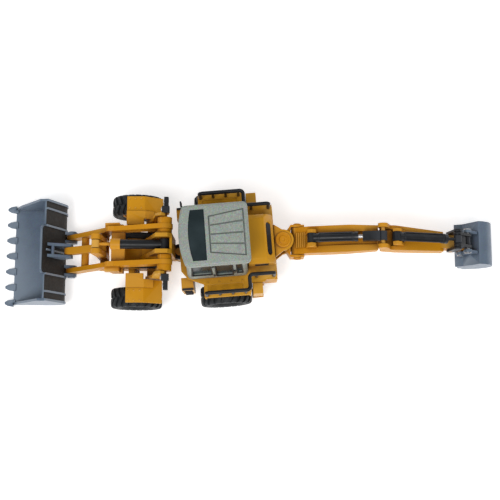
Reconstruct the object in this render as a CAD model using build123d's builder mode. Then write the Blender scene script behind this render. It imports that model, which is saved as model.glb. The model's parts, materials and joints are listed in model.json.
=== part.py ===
"""Toy backhoe loader that steers at its waist: millimetres, -X towards the loader bucket, +Z up.

The machine is drawn straight, then the rear body is turned a little about the waist pin
and the digging arm is carried along with it, so that it still points along X.
"""
from math import atan2, cos, degrees, hypot, radians, sin
from build123d import *
import os

# ---------------------------------------------------------------- driving dimensions
waist = (-37.0, 0.0)          # vertical steering pin, X and Y
waist_angle = 4.5             # degrees the rear body is turned about the waist pin
frame_shift = (2.06, -1.32)   # puts the origin under the middle of the whole machine

tyre_r = 13.5
tyre_inner = 19.0
tyre_outer = 29.5
rim_r = 8.0
axle_r = 1.5
front_axle_x = -59.7
rear_axle_x = -14.4

rod_r = 0.8                   # piston rods
pin_r = 1.2                   # large hinge pins
small_pin_r = 1.0             # pins of cylinders and links
shaft_gap = 0.06              # radial clearance of a pin in its bore
open_gap = 0.3                # radial clearance where a linkage is left open
gap = 0.3                     # side clearance between neighbouring moving plates

belly_z = 8.0                 # underside of both frames
chassis_top = 20.0
deck_z = 28.3                 # underside of the deck plate
deck_top = 31.0
chassis_half = 15.0
body_front = -33.0
body_rear = 12.7
fender_half = 26.5
flank_half = 20.5             # sides behind the wheels

# loader pivots in X and Z
arm_pivot = (-42.5, 44.0)
arm_knee = (-69.0, 35.0)
lift_base = (-48.0, 22.8)
lift_eye = (-67.5, 27.6)
lift_y = 7.6
bucket_pivot = (-95.5, 7.5)
bucket_ear = (-95.0, 20.0)
crank_pivot = (-76.0, 20.0)
crank_ear = (-75.5, 32.5)
crank_top = (-76.5, 45.5)
arm_in = 7.7                  # arm plates, from inner to outer face
arm_out = 10.1

# digging arm pivots in X and Z
swing_x = 17.0
boom_foot = (24.5, 26.0)
boom_cyl_base = (26.5, 14.0)
boom_cyl_eye = (46.5, 30.5)
stick_pivot = (69.4, 36.0)
stick_cyl_base = (31.2, 38.0)
stick_cyl_eye = (66.2, 44.6)
dig_pivot = (110.4, 18.0)
dig_ear = (112.2, 27.6)
idler_pivot = (104.0, 24.1)
idler_top = (105.8, 33.6)
dig_cyl_base = (73.4, 42.6)

# loader bucket
bucket_half = 26.5
bucket_wall = 1.2
lip_x = -127.5
tooth_tip_x = -132.0
heel = (-107.5, 9.7)          # centre of the round heel
heel_r = 8.5
bucket_top = (-105.4, 28.0)

# cab and roof
cab_front = -33.0
cab_back = -2.0
cab_half = 16.5
cab_top_half = 14.0
roof_z = 62.0
roof_top = 66.0

os.makedirs("parts", exist_ok=True)

# ---------------------------------------------------------------- places of the three groups
front_place = Location((frame_shift[0], frame_shift[1], 0))
turn = Location((waist[0], 0, 0), (0, 0, waist_angle)) * Location((-waist[0], 0, 0))
rear_place = front_place * turn
swing_reach = swing_x - waist[0]
swing_dx = swing_reach * (cos(radians(waist_angle)) - 1)
swing_dy = swing_reach * sin(radians(waist_angle))
dig_place = Location((frame_shift[0] + swing_dx, frame_shift[1] + swing_dy, 0))


def write(piece, label, place):
    """Carries a finished piece to its place in the row, labels it and writes its STEP."""
    solid = piece.part.moved(place)
    solid.label = label
    export_step(solid, f"parts/{label}.step")


# ---------------------------------------------------------------- shapes that repeat
def side_plane(y):
    """Upright plane at y whose own axes are X and Z; it faces -Y."""
    return Plane(origin=(0, y, 0), x_dir=(1, 0, 0), z_dir=(0, -1, 0))


def plate(points, y_low, y_high, mode=Mode.ADD):
    """Upright plate with a straight-sided outline in X and Z."""
    with BuildSketch(side_plane(y_high)) as outline:
        with BuildLine():
            Polyline(*points, close=True)
        make_face()
    extrude(outline.sketch, amount=y_high - y_low, mode=mode)


def disc(centre, radius, y_low, y_high, mode=Mode.ADD):
    """Round boss, pin or bore across the machine."""
    with BuildSketch(side_plane(y_high)) as outline:
        with Locations(centre):
            Circle(radius)
    extrude(outline.sketch, amount=y_high - y_low, mode=mode)


def bar(start, end, width, y_low, y_high, mode=Mode.ADD):
    """Upright bar with round ends about two pivots."""
    run = (end[0] - start[0], end[1] - start[1])
    middle = ((start[0] + end[0]) / 2, (start[1] + end[1]) / 2)
    with BuildSketch(side_plane(y_high)) as outline:
        with Locations(middle):
            SlotCenterToCenter(hypot(*run), width, rotation=degrees(atan2(run[1], run[0])))
    extrude(outline.sketch, amount=y_high - y_low, mode=mode)


def block(x, y, z, mode=Mode.ADD):
    """Box between two limits on each axis."""
    with BuildSketch(Plane.XY.offset(z[0])) as outline:
        with Locations(((x[0] + x[1]) / 2, (y[0] + y[1]) / 2)):
            Rectangle(x[1] - x[0], y[1] - y[0])
    extrude(outline.sketch, amount=z[1] - z[0], mode=mode)


def both_sides(low, high):
    """The Y limits of a piece on the left and of its twin on the right."""
    return ((-high, -low), (low, high))


def line_plane(start, end, y, distance):
    """Plane across the line from start to end, at a distance from start; its x axis is Y."""
    run = hypot(end[0] - start[0], end[1] - start[1])
    along = ((end[0] - start[0]) / run, (end[1] - start[1]) / run)
    origin = (start[0] + along[0] * distance, y, start[1] + along[1] * distance)
    return Plane(origin=origin, x_dir=(0, 1, 0), z_dir=(along[0], 0, along[1]))


def cylinder_barrel(base, eye, y, radius, length, slack, eye_half, pivot_r):
    """Barrel hinged at base: round tube towards eye, bored as an upright slot for the rod."""
    bore_start = pivot_r + 1.4
    disc(base, pivot_r + 1.3, y - eye_half, y + eye_half)
    with BuildSketch(line_plane(base, eye, y, pivot_r + 0.2)) as outline:
        Circle(radius)
    extrude(outline.sketch, amount=length - pivot_r - 0.2)
    with BuildSketch(line_plane(base, eye, y, length - 1.8)) as outline:
        Circle(radius + 0.3)
    extrude(outline.sketch, amount=1.8)
    with BuildSketch(line_plane(base, eye, y, bore_start)) as outline:
        SlotOverall(2 * (rod_r + slack), 2 * (rod_r + 0.2), rotation=90)
    extrude(outline.sketch, amount=length - bore_start + 0.1, mode=Mode.SUBTRACT)
    disc(base, pivot_r + shaft_gap, y - eye_half, y + eye_half, mode=Mode.SUBTRACT)


def cylinder_rod(base, eye, y, length, eye_half, pivot_r):
    """Rod hinged at eye, reaching back into the barrel."""
    disc(eye, pivot_r + 1.0, y - eye_half, y + eye_half)
    with BuildSketch(line_plane(eye, base, y, pivot_r)) as outline:
        Circle(rod_r)
    extrude(outline.sketch, amount=length - pivot_r)
    disc(eye, pivot_r + shaft_gap, y - eye_half, y + eye_half, mode=Mode.SUBTRACT)


# ================================================================ rear body
with BuildPart() as chassis_base:
    block((body_front, body_rear), (-chassis_half, chassis_half), (belly_z, chassis_top))
    for level in ((belly_z, 10.8), (17.2, chassis_top)):
        block((waist[0], body_front), (-4, 4), level)
        with BuildSketch(Plane.XY.offset(level[0])):
            with Locations(waist):
                Circle(4)
        extrude(amount=level[1] - level[0])
    with BuildSketch(Plane.XY.offset(belly_z)):
        with Locations(waist):
            Circle(2)
    extrude(amount=chassis_top - belly_z, mode=Mode.SUBTRACT)
    disc((rear_axle_x, tyre_r), axle_r + shaft_gap, -chassis_half, chassis_half, mode=Mode.SUBTRACT)
    screw_places = [(-25, -9), (-25, 9), (6, -9), (6, 9)]
    with BuildSketch(Plane.XY.offset(belly_z)):
        with Locations(*screw_places):
            Circle(1.8)
    extrude(amount=1.2, mode=Mode.SUBTRACT)
write(chassis_base, "chassis_base", rear_place)

with BuildPart() as base_screws:
    with BuildSketch(Plane.XY.offset(belly_z + 0.2)):
        with Locations(*screw_places):
            Circle(1.8)
    extrude(amount=1.0)
    with BuildSketch(Plane.XY.offset(belly_z + 0.2)):
        with Locations(*screw_places):
            Rectangle(2.2, 0.5)
            Rectangle(0.5, 2.2)
    extrude(amount=0.5, mode=Mode.SUBTRACT)
write(base_screws, "base_screws", rear_place)

deck_outline = [
    (-36, 12), (-33, 16), (-25, 19.5), (-25, fender_half), (-1.4, fender_half), (-0.4, flank_half),
    (6, flank_half), (7, 19.4), (11.2, 19.4), (body_rear, 17.9),
]
with BuildPart() as body_shell:
    block((body_front, body_rear), (-chassis_half, chassis_half), (chassis_top, deck_z))
    with BuildSketch(Plane.XY.offset(deck_z)):
        with BuildLine():
            mirrored = [(x, -y) for x, y in reversed(deck_outline)]
            Polyline(*deck_outline, *mirrored, close=True)
        make_face()
    extrude(amount=deck_top - deck_z)
    for low, high in both_sides(chassis_half, flank_half):
        block((0.5, 6), (low, high), (12, deck_z))
    for low, high in both_sides(chassis_half, 19.4):
        block((0.5, body_rear), (low, high), (12, deck_z))
    for low, high in both_sides(19.5, fender_half):
        block((-25, -24), (low, high), (24, deck_z))
        block((-2.3, -1.4), (low, high), (23, deck_z))
    block((body_front + 1.5, body_rear - 1.5), (-13.5, 13.5), (chassis_top, 26.8), mode=Mode.SUBTRACT)
    with BuildSketch(Plane.XY.offset(deck_top)):
        with Locations((-14, 22), (-14, -22)):
            Rectangle(18, 4)
    extrude(amount=-0.4, mode=Mode.SUBTRACT)
write(body_shell, "body_shell", rear_place)

hood_side = [(-1.6, deck_top), (12.5, deck_top), (12.0, 36.5), (7.6, 43.2), (-1.6, 44.0)]
hood_slope = hypot(12.0 - 7.6, 43.2 - 36.5)
grille_plane = Plane(
    origin=(9.8, 0, 39.85),
    x_dir=(0, 1, 0),
    z_dir=((43.2 - 36.5) / hood_slope, 0, (12.0 - 7.6) / hood_slope),
)
grille_depth = 0.9
with BuildPart() as engine_hood:
    plate(hood_side, -12.5, 12.5)
    side_edges = engine_hood.faces().sort_by(Axis.Z)[-1].edges().sort_by(Axis.Y)
    chamfer([side_edges[0], side_edges[-1]], 2.2)
    hood_hollow = [(0, deck_top), (10.8, deck_top), (10.4, 35.8), (6.8, 41.2), (0, 42.0)]
    plate(hood_hollow, -10.5, 10.5, mode=Mode.SUBTRACT)
    with BuildSketch(grille_plane):
        RectangleRounded(16.6, 4.4, 2.1)
    extrude(amount=-grille_depth, mode=Mode.SUBTRACT)
write(engine_hood, "engine_hood", rear_place)

with BuildPart() as hood_grille:
    with BuildSketch(grille_plane.offset(-grille_depth)):
        RectangleRounded(16.6, 4.4, 2.1)
    extrude(amount=0.3)
    with BuildSketch(grille_plane.offset(-grille_depth)):
        with GridLocations(0, 1.0, 1, 4):
            Rectangle(15.0, 0.45)
    extrude(amount=0.9)
write(hood_grille, "hood_grille", rear_place)


def cab_section(inset, z):
    """Cab outline at a height, drawn in by an inset; the cab narrows towards the roof."""
    share = (z - deck_top) / (roof_z - deck_top)
    half = cab_half + (cab_top_half - cab_half) * share - inset
    front = cab_front + 1.5 * share + inset
    back = cab_back - 0.8 * share - inset
    with BuildSketch(Plane.XY.offset(z)) as outline:
        with Locations(((front + back) / 2, 0)):
            RectangleRounded(back - front, 2 * half, 2.6 - inset)
    return outline.sketch


def cab_body(inset, mode=Mode.ADD):
    """Tapered block between the deck and the roof."""
    loft([cab_section(inset, deck_top), cab_section(inset, roof_z)], mode=mode)


cab_wall = 1.2
glass_wall = 0.7
side_windows = [
    [(-30.2, 38.5), (-20.0, 38.5), (-20.0, 59.5), (-28.9, 59.5)],
    [(-18.0, 35.0), (-9.5, 35.0), (-9.5, 59.5), (-18.0, 59.5)],
    [(-7.6, 38.5), (-4.6, 38.5), (-5.2, 59.5), (-7.6, 59.5)],
]
with BuildPart() as cab_frame:
    cab_body(0)
    cab_body(cab_wall, mode=Mode.SUBTRACT)
    for window in side_windows:
        plate(window, -20, 20, mode=Mode.SUBTRACT)
    block((-36, -25), (-12.2, 12.2), (36.5, 59.5), mode=Mode.SUBTRACT)
    block((-8, 0), (-11.8, 11.8), (46.5, 59.5), mode=Mode.SUBTRACT)
write(cab_frame, "cab_frame", rear_place)

with BuildPart() as cab_glass:
    cab_body(cab_wall)
    cab_body(cab_wall + glass_wall, mode=Mode.SUBTRACT)
write(cab_glass, "cab_glass", rear_place)

roof_front = -34.0
roof_back = -0.3
window_front = -29.3
window_back = -21.1
window_half = 12.3
roof_half = 14.8
roof_panel_x = (-19.4, -2.2)   # front and rear ends of the ribbed panel
roof_panel_half = 8.9         # half its width in front; it widens to the rear
roof_spread = 1.28
roof_rib_pitch = 4.35


def roof_window_outline(inset):
    """Roof window: straight behind, bowed in front."""
    with BuildLine() as outline:
        Line((window_back - inset, window_half - inset), (window_back - inset, -window_half + inset))
        Line(
            (window_back - inset, -window_half + inset),
            (window_front + 1.6 + inset, -window_half + inset),
        )
        ThreePointArc(
            (window_front + 1.6 + inset, -window_half + inset),
            (window_front + inset, 0),
            (window_front + 1.6 + inset, window_half - inset),
        )
        Line((window_front + 1.6 + inset, window_half - inset), (window_back - inset, window_half - inset))
    make_face(outline.edges())


def roof_panel_face(low, high, inset):
    """Face between two lines of the panel that fan out to the rear."""
    front = roof_panel_x[0] + inset
    rear = roof_panel_x[1] - inset
    with BuildLine() as outline:
        Polyline(
            (front, low), (rear, low * roof_spread),
            (rear, high * roof_spread), (front, high),
            close=True,
        )
    make_face(outline.edges())


with BuildPart() as cab_roof:
    with BuildSketch(Plane.XY.offset(roof_z)):
        with BuildLine():
            Line((roof_front + 2.6, roof_half), (roof_back, roof_half))
            Line((roof_back, roof_half), (roof_back, -roof_half))
            Line((roof_back, -roof_half), (roof_front + 2.6, -roof_half))
            ThreePointArc((roof_front + 2.6, -roof_half), (roof_front, 0), (roof_front + 2.6, roof_half))
        make_face()
    extrude(amount=roof_top - roof_z)
    fillet(cab_roof.edges().filter_by(Axis.Z), 2.4)
    fillet(cab_roof.faces().sort_by(Axis.Z)[-1].edges(), 1.1)
    with BuildSketch(Plane.XY.offset(roof_top - 1.6)):
        roof_window_outline(0)
    extrude(amount=1.6, mode=Mode.SUBTRACT)
    with BuildSketch(Plane.XY.offset(roof_z)):
        roof_window_outline(1.2)
    extrude(amount=roof_top - roof_z, mode=Mode.SUBTRACT)
    with BuildSketch(Plane.XY.offset(roof_top)):
        roof_panel_face(-roof_panel_half, roof_panel_half, 0)
    extrude(amount=-0.9, mode=Mode.SUBTRACT)
    with BuildSketch(Plane.XY.offset(roof_top - 0.9)):
        for index in range(4):
            middle = (index - 1.5) * roof_rib_pitch
            roof_panel_face(middle - 1.85, middle + 1.85, 0.7)
    extrude(amount=0.7)
write(cab_roof, "cab_roof", rear_place)

with BuildPart() as roof_window:
    with BuildSketch(Plane.XY.offset(roof_top - 1.6)):
        roof_window_outline(0)
    extrude(amount=1.0)
write(roof_window, "roof_window", rear_place)

with BuildPart() as operator_seat:
    block((-16, -7), (-5, 5), (deck_top, 38))
    block((-9.5, -7), (-5, 5), (38, 48))
write(operator_seat, "operator_seat", rear_place)

with BuildPart() as steering_wheel:
    wheel_plane = Plane(origin=(-22, 0, 42), x_dir=(0, 1, 0), z_dir=(0.4, 0, 0.9))
    with BuildSketch(wheel_plane):
        Circle(3.6)
        Circle(2.7, mode=Mode.SUBTRACT)
        Rectangle(6.4, 0.9)
    extrude(amount=0.8)
    with BuildSketch(wheel_plane):
        Circle(0.8)
    extrude(amount=-12)
    block((-32, -20), (-12, 12), (deck_top - 5, deck_top), mode=Mode.SUBTRACT)
write(steering_wheel, "steering_wheel", rear_place)

rail_z = 42.0
rail_r = 0.95
rail_y = 25.2
rail_end_y = 17.6
with BuildPart() as handrails:
    for side in (-1, 1):
        rail_points = [
            (-23.6, side * rail_y, deck_top),
            (-23.6, side * rail_y, rail_z),
            (-1.6, side * rail_y, rail_z),
            (-1.6, side * rail_end_y, rail_z),
            (10.8, side * rail_end_y, rail_z),
            (10.8, side * rail_end_y, deck_top),
        ]
        with BuildLine() as rail_path:
            FilletPolyline(*rail_points, radius=1.8)
        with BuildSketch(Plane(origin=rail_points[0], z_dir=(0, 0, 1))):
            Circle(rail_r)
        sweep(path=rail_path.wires()[0])
        with BuildSketch(Plane.XY.offset(deck_top)):
            with Locations((-17, side * rail_y), (-10.5, side * rail_y), (-4, side * rail_y)):
                Circle(0.7)
            with Locations((2, side * rail_end_y)):
                Circle(0.7)
        extrude(amount=rail_z - deck_top)
write(handrails, "handrails", rear_place)

step_x = (-36.6, -30.4)
step_half = 21.6
step_levels = ((10.0, 11.5), (18.0, 19.5), (26.0, 27.5))
with BuildPart() as steps:
    for low, high in both_sides(chassis_half, step_half):
        block((step_x[0], step_x[0] + 0.9), (low, high), (10, 27.5))
        block((step_x[1] - 0.9, step_x[1]), (low, high), (10, 27.5))
        for level in step_levels:
            block(step_x, (low, high), level)
write(steps, "steps", rear_place)

with BuildPart() as step_treads:
    for low, high in both_sides(step_half - 1.1, step_half):
        block((step_x[0] + 0.3, step_x[1] - 0.3), (low, high), (27.5, 28.1))
    for low, high in both_sides(16.4, step_half + 0.7):
        for level in step_levels[:2]:
            block((step_x[0] + 1.1, step_x[1] - 1.1), (low, high), (level[1], level[1] + 0.5))
write(step_treads, "step_treads", rear_place)

leg_x = (0.6, 4.0)
leg_y = (21.7, 25.1)
with BuildPart() as stabiliser_housings:
    for side in (-1, 1):
        y_outer = sorted((side * 20.5, side * 26.2))
        y_leg = sorted((side * (leg_y[0] - gap), side * (leg_y[1] + gap)))
        block((leg_x[0] - 0.9, leg_x[1] + 0.9), y_outer, (14, 30))
        block((leg_x[0] - gap, leg_x[1] + gap), y_leg, (14, 28.8), mode=Mode.SUBTRACT)
write(stabiliser_housings, "stabiliser_housings", rear_place)

for name, side in (("stabiliser_leg_left", -1), ("stabiliser_leg_right", 1)):
    with BuildPart() as stabiliser_leg:
        y_leg = sorted((side * leg_y[0], side * leg_y[1]))
        y_foot = sorted((side * 20.9, side * 25.9))
        block(leg_x, y_leg, (6, 28))
        block((leg_x[0] - 1.3, leg_x[1] + 1.4), y_foot, (5, 6.5))
    write(stabiliser_leg, name, rear_place)

lobe_r = 5.4
lobe_top = 32.3
with BuildPart() as swing_bracket:
    block((body_rear, 13.4), (-6.6, 6.6), (15.8, lobe_top))
    for level in ((15.8, 19.0), (29.5, lobe_top)):
        with BuildSketch(Plane.XY.offset(level[0])):
            with BuildLine():
                Polyline(
                    (body_rear, -8.4), (body_rear, 8.4),
                    (swing_x, lobe_r), (swing_x, -lobe_r),
                    close=True,
                )
            make_face()
            with Locations((swing_x, 0)):
                Circle(lobe_r)
        extrude(amount=level[1] - level[0])
    with BuildSketch(Plane.XY.offset(15.8)):
        with Locations((swing_x, 0)):
            Circle(1.5)
    extrude(amount=20, mode=Mode.SUBTRACT)
    block((body_rear - 4, body_rear), (-9, 9), (15, 35), mode=Mode.SUBTRACT)
write(swing_bracket, "swing_bracket", rear_place)

with BuildPart() as pivot_pins:
    with BuildSketch(Plane.XY.offset(15.0)):
        with Locations((swing_x, 0)):
            Circle(1.5)
    extrude(amount=lobe_top - 15)
    with BuildSketch(Plane.XY.offset(lobe_top)):
        with Locations((swing_x, 0)):
            Circle(4.0)
    extrude(amount=0.8)
    with BuildSketch(Plane.XY.offset(7.6)):
        with Locations(waist):
            Circle(2)
    extrude(amount=13)
write(pivot_pins, "pivot_pins", rear_place)

# ================================================================ front frame
tower_in = 3.0
tower_out = 5.0
wing_in = 13.8
wing_out = 15.2
tower_side = [(-58, 19), (-43, 19), (-38.5, 26), (-38.5, 48), (-40.5, 50), (-46.5, 50), (-50, 40)]
wing_side = [
    (-54, 16), (-44, 16), (-44, 28.6), (-42, 30.4), (-42, 48), (-44, 50), (-47, 47), (-50, 32), (-54, 25),
]
with BuildPart() as front_frame:
    block((-68, -43), (-9, 9), (9, chassis_top))
    block((-45, waist[0]), (-4, 4), (11, 17))
    with BuildSketch(Plane.XY.offset(11)):
        with Locations(waist):
            Circle(4)
    extrude(amount=6)
    for low, high in both_sides(tower_in, tower_out):
        plate(tower_side, low, high)
    block((-39.7, -38.5), (-tower_in, tower_in), (26, 48))
    block((-56, -46), (-tower_in, tower_in), (chassis_top, 24))
    block((-54, -44), (-wing_out, wing_out), (16, 18))
    for low, high in both_sides(wing_in, wing_out):
        plate(wing_side, low, high)
    for low, high in both_sides(9, 15.6):
        block((-63.5, -60.5), (low, high), (16, 19))
    with BuildSketch(Plane.XY.offset(11)):
        with Locations(waist):
            Circle(2 + shaft_gap)
    extrude(amount=6, mode=Mode.SUBTRACT)
    disc((front_axle_x, tyre_r), axle_r + shaft_gap, -9, 9, mode=Mode.SUBTRACT)
    disc(arm_pivot, pin_r, -wing_out, wing_out, mode=Mode.SUBTRACT)
    for low, high in both_sides(wing_in, wing_out):
        disc(lift_base, small_pin_r, low, high, mode=Mode.SUBTRACT)
write(front_frame, "front_frame", front_place)

with BuildPart() as frame_pins:
    disc(arm_pivot, pin_r, -wing_out, wing_out)
    for low, high in both_sides(wing_out, wing_out + 0.6):
        disc(arm_pivot, 2.2, low, high)
    for low, high in both_sides(tower_out, wing_out):
        disc(lift_base, small_pin_r, low, high)
write(frame_pins, "frame_pins", front_place)

guard_top = 29.4
guard_in = 15.6
guard_side = [
    (-63.5, 27.9), (-55, 27.9), (-46.6, 21.5), (-45.5, 22.6), (-54.4, guard_top), (-63.5, guard_top),
]
with BuildPart() as front_mudguards:
    for low, high in both_sides(guard_in, 27.5):
        plate(guard_side, low, high)
    for low, high in both_sides(12.6, 19.8):
        block((-63.5, -54.6), (low, high), (27.9, guard_top + 0.9))
    for low, high in both_sides(guard_in, 19.8):
        plate([(-55, 28.5), (-55, 30.3), (-54, 30.3), (-49.6, 26.9), (-50.6, 25.6)], low, high)
    for low, high in both_sides(guard_in, guard_in + 1.6):
        block((-63.5, -60.5), (low, high), (16, 27.9))
write(front_mudguards, "front_mudguards", front_place)

with BuildPart() as headlamps:
    for low, high in both_sides(wing_out, 18.6):
        block((-43.6, -39.9), (low, high), (46.2, 49.0))
    for low, high in both_sides(18.6, 23.2):
        block((-42.6, -40.4), (low, high), (45.8, 48.8))
write(headlamps, "headlamps", front_place)

# ================================================================ wheels
for axle, axle_x, place in (("front", front_axle_x, front_place), ("rear", rear_axle_x, rear_place)):
    wheel = (axle_x, tyre_r)
    with BuildPart() as axle_rod:
        disc(wheel, axle_r, -27.4, 27.4)
    write(axle_rod, f"{axle}_axle", place)

    with BuildPart() as rims:
        for low, high in both_sides(19.6, 28.2):
            disc(wheel, rim_r, low, high)
        for low, high in both_sides(26.6, 28.2):
            disc(wheel, rim_r - 1.2, low, high, mode=Mode.SUBTRACT)
            disc(wheel, 2.6, low, high)
        disc(wheel, axle_r, -27.4, 27.4, mode=Mode.SUBTRACT)
    write(rims, f"{axle}_rims", place)

    with BuildPart() as tyres:
        for low, high in both_sides(tyre_inner, tyre_outer):
            disc(wheel, tyre_r, low, high)
        chamfer(tyres.edges().filter_by(GeomType.CIRCLE), 1.2)
        disc(wheel, rim_r, -tyre_outer, tyre_outer, mode=Mode.SUBTRACT)
    write(tyres, f"{axle}_tyres", place)

# ================================================================ loader arms
for name, (low, high) in (("arm_left", (-arm_out, -arm_in)), ("arm_right", (arm_in, arm_out))):
    side = low / abs(low)
    boss = sorted((side * 5.3, side * 13.4))
    knee = sorted((side * arm_in, side * 12.4))
    cheek = sorted((side * 9.4, side * 12.4))
    with BuildPart() as arm:
        bar(arm_pivot, arm_knee, 8.0, low, high)
        bar(arm_knee, bucket_pivot, 6.4, low, high)
        disc(arm_knee, 4.6, low, high)
        plate([(-78.4, 20), (-73.6, 20), (-70.5, 30), (-79.0, 27)], low, high)
        plate([(-73.6, 31), (-66.2, 31), (-66.2, 36.4), (-73.6, 35.4)], *knee)
        plate([(-70.6, 25.2), (-65.0, 25.2), (-65.0, 31), (-71.4, 31)], *cheek)
        disc(crank_pivot, 2.6, low, high)
        disc(arm_pivot, 3.6, *boss)
        disc(arm_pivot, pin_r + shaft_gap, *boss, mode=Mode.SUBTRACT)
        disc(bucket_pivot, pin_r + shaft_gap, low, high, mode=Mode.SUBTRACT)
        disc(crank_pivot, small_pin_r, low, high, mode=Mode.SUBTRACT)
        disc(lift_eye, small_pin_r, *cheek, mode=Mode.SUBTRACT)
    write(arm, name, front_place)

with BuildPart() as arm_cross_members:
    disc((-86.8, 16.6), 2.0, -arm_in, arm_in)
    block((-70.5, -63.5), (-arm_in, arm_in), (32.4, 34.4))
write(arm_cross_members, "arm_cross_members", front_place)

with BuildPart() as arm_pins:
    disc(crank_pivot, small_pin_r, -arm_out, arm_out)
    for low, high in both_sides(6.0, 12.4):
        disc(lift_eye, small_pin_r, low, high)
write(arm_pins, "arm_pins", front_place)

with BuildPart() as lift_barrels:
    for side in (-1, 1):
        cylinder_barrel(lift_base, lift_eye, side * lift_y, 1.8, 17.4, 0.5, 1.5, small_pin_r)
write(lift_barrels, "lift_barrels", front_place)

with BuildPart() as lift_rods:
    for side in (-1, 1):
        cylinder_rod(lift_base, lift_eye, side * lift_y, 17.3, 1.5, small_pin_r)
write(lift_rods, "lift_rods", front_place)

# ---------------------------------------------------------------- bucket tilt linkage
crank_in = 2.3
crank_out = 4.9
with BuildPart() as tilt_crank:
    for low, high in both_sides(crank_in, crank_out):
        bar(crank_pivot, crank_ear, 5.0, low, high)
        bar(crank_ear, crank_top, 4.6, low, high)
    disc(crank_pivot, 2.3, -7.4, 7.4)
    disc(crank_pivot, small_pin_r + shaft_gap, -7.4, 7.4, mode=Mode.SUBTRACT)
    for pivot in (crank_ear, crank_top):
        disc(pivot, small_pin_r, -crank_out, crank_out)
write(tilt_crank, "tilt_crank", front_place)

link_half = 1.9
with BuildPart() as tilt_link:
    bar(bucket_ear, crank_ear, 4.4, -link_half, link_half)
    disc(crank_ear, small_pin_r + shaft_gap, -link_half, link_half, mode=Mode.SUBTRACT)
    disc(bucket_ear, small_pin_r + open_gap, -link_half, link_half, mode=Mode.SUBTRACT)
write(tilt_link, "tilt_link", front_place)

with BuildPart() as tilt_barrel:
    cylinder_barrel(arm_pivot, crank_top, 0, 2.4, 26.6, 1.25, 2.6, pin_r)
write(tilt_barrel, "tilt_barrel", front_place)

with BuildPart() as tilt_rod:
    cylinder_rod(arm_pivot, crank_top, 0, 25.0, link_half, small_pin_r)
write(tilt_rod, "tilt_rod", front_place)

# ================================================================ loader bucket
top_run = (bucket_top[0] - heel[0], bucket_top[1] - heel[1])
back_length = (hypot(*top_run)**2 - heel_r**2)**0.5
back_angle = degrees(atan2(top_run[1], top_run[0])) - degrees(atan2(back_length, heel_r))
back_normal = (cos(radians(back_angle)), sin(radians(back_angle)))
heel_angles = (-90, (back_angle - 90) / 2, back_angle)


def heel_point(angle, grow):
    """Point on the round heel, drawn out by grow."""
    radius = heel_r + grow
    return (heel[0] + radius * cos(radians(angle)), heel[1] + radius * sin(radians(angle)))


def back_top(grow):
    """Top of the straight back, drawn out by grow."""
    return (bucket_top[0] + back_normal[0] * grow, bucket_top[1] + back_normal[1] * grow)


def bucket_band(inner, outer, floor_x, y_low, y_high):
    """Floor, heel and back between two offsets of the outer bucket line."""
    outer_low, outer_mid, outer_high = (heel_point(angle, outer) for angle in heel_angles)
    inner_low, inner_mid, inner_high = (heel_point(angle, inner) for angle in heel_angles)
    with BuildSketch(side_plane(y_high)) as outline:
        with BuildLine():
            Line((floor_x, outer_low[1]), outer_low)
            ThreePointArc(outer_low, outer_mid, outer_high)
            Line(outer_high, back_top(outer))
            Line(back_top(outer), back_top(inner))
            Line(back_top(inner), inner_high)
            ThreePointArc(inner_high, inner_mid, inner_low)
            Line(inner_low, (floor_x, inner_low[1]))
            Line((floor_x, inner_low[1]), (floor_x, outer_low[1]))
        make_face()
    extrude(outline.sketch, amount=y_high - y_low)


floor_z = heel[1] - heel_r
lip_top = (lip_x, floor_z + 1.2)
rib_places = (-21.5, -12.5, 0, 12.5, 21.5)
ear_in = 2.2
ear_out = 3.7
tilt_lug = [(-100.4, 12.6), (-94.6, 17.7), (-93.4, 21.8), (-105.2, 27.4)]
arm_lug = [(-100.5, 3.4), (-96.0, 4.9), (-94.6, 9.8), (-100.2, 12.4)]
with BuildPart() as loader_bucket:
    bucket_band(-bucket_wall, 0, lip_x, -bucket_half, bucket_half)
    for low, high in both_sides(bucket_half - bucket_wall, bucket_half):
        with BuildSketch(side_plane(high)):
            with BuildLine():
                Line((lip_x, floor_z), heel_point(-90, 0))
                ThreePointArc(*(heel_point(angle, 0) for angle in heel_angles))
                Polyline(heel_point(back_angle, 0), bucket_top, (-109, 27.4), (-123.5, 9.5), lip_top)
                Line(lip_top, (lip_x, floor_z))
            make_face()
        extrude(amount=high - low)
    for rib in rib_places:
        bucket_band(-0.2, 1.0, -112, rib - 0.5, rib + 0.5)
    bucket_band(-0.2, 1.0, -112, -bucket_half, -bucket_half + 1.2)
    bucket_band(-0.2, 1.0, -112, bucket_half - 1.2, bucket_half)
    guard_plane = Plane(
        origin=(bucket_top[0], 0, bucket_top[1]),
        x_dir=(0, 1, 0),
        z_dir=(back_normal[0], 0, back_normal[1]),
    )
    with BuildSketch(guard_plane.offset(-bucket_wall)):
        with Locations((0, -0.4)):
            RectangleRounded(25, 7.2, 2.4)
    extrude(amount=bucket_wall)
    for low, high in both_sides(ear_in, ear_out):
        plate(tilt_lug, low, high)
        disc(bucket_ear, 2.4, low, high)
        disc(bucket_ear, small_pin_r, low, high, mode=Mode.SUBTRACT)
    disc((-102.2, 25.0), 0.9, -ear_in, ear_in)
    for low, high in both_sides(5.9, 7.4) + both_sides(10.4, 11.9):
        plate(arm_lug, low, high)
        disc(bucket_pivot, 2.6, low, high)
        disc(bucket_pivot, pin_r, low, high, mode=Mode.SUBTRACT)
write(loader_bucket, "loader_bucket", front_place)

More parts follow.
